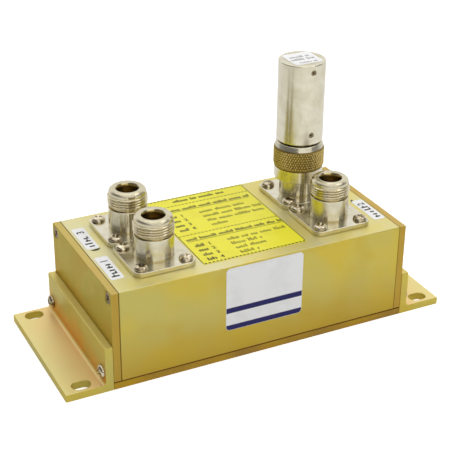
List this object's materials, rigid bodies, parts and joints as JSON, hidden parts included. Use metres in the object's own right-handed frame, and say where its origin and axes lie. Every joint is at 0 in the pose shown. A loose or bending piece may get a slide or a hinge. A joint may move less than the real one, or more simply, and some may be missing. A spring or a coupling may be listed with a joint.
{
  "type": "rf hybrid coupler",
  "caption": "Boxed radio-frequency hybrid coupler with threaded coaxial jacks on top, a screw-on load on the fourth, and slotted mounting feet at both ends.",
  "frame": {"origin": "middle of the base, on the plane the bottom plate and feet rest on", "axes": "+X along the housing from port 1 to port 2, +Y from the labelled front to the rear, +Z out of the top along the jacks"},
  "size_m": [0.165, 0.0637, 0.1013],
  "materials": {
    "chromate": "yellow iridescent chromate conversion coat, satin",
    "screw_steel": "plated steel, bright",
    "nickel": "nickel plated brass, bright",
    "nut_nickel": "nickel plated brass, knurled",
    "fluoropolymer": "waxy white",
    "contact_gold": "gold plated",
    "line_brass": "milled",
    "element_ceramic": "film-coated ceramic",
    "gasket_rubber": "silicone",
    "label_yellow": "printed yellow label",
    "label_white": "printed white label"
  },
  "bodies": {
    "coupler": {"main_channel": "chromate", "bottom_plate": "chromate", "left_end_plate": "chromate", "right_end_plate": "chromate", "left_bracket": "chromate", "right_bracket": "chromate", "left_end_plate_screws": "screw_steel", "right_end_plate_screws": "screw_steel", "left_bracket_screws": "screw_steel", "right_bracket_screws": "screw_steel", "bottom_plate_screws": "screw_steel", "line_support_screws": "screw_steel", "flange_screws": "screw_steel", "port_1_shell": "nickel", "port_2_shell": "nickel", "port_3_shell": "nickel", "port_4_shell": "nickel", "port_1_insulator": "fluoropolymer", "port_2_insulator": "fluoropolymer", "port_3_insulator": "fluoropolymer", "port_4_insulator": "fluoropolymer", "left_line_support": "fluoropolymer", "right_line_support": "fluoropolymer", "port_1_contact": "contact_gold", "port_2_contact": "contact_gold", "port_3_contact": "contact_gold", "port_4_contact": "contact_gold", "front_line": "line_brass", "rear_line": "line_brass", "top_label": "label_yellow", "front_label": "label_white", "port_1_sticker": "label_white", "port_2_sticker": "label_white", "port_3_sticker": "label_white"},
    "load": {"load_case": "nickel", "load_cap": "nickel", "load_element": "element_ceramic", "load_plug_body": "nickel", "load_plug_insulator": "fluoropolymer", "load_pin": "contact_gold", "load_set_screws": "screw_steel", "load_gasket": "gasket_rubber", "retaining_ring": "screw_steel", "load_label": "label_white"},
    "nut": {"coupling_nut": "nut_nickel"}
  },
  "joints": [
    {"name": "load_rise", "type": "slide", "parent": "coupler", "child": "load", "axis": [0, 0, 1], "range_m": [0, 0.01058]},
    {"name": "nut_turn", "type": "hinge", "parent": "load", "child": "nut", "pos_m": [0.0383, 0.01285, 0.06], "axis": [0, 0, 1], "range_deg": [0, 3600]}
  ],
  "couplings": [
    {"joint": "nut_turn", "follows": "load_rise", "rad_per_m": 5936.9}
  ]
}
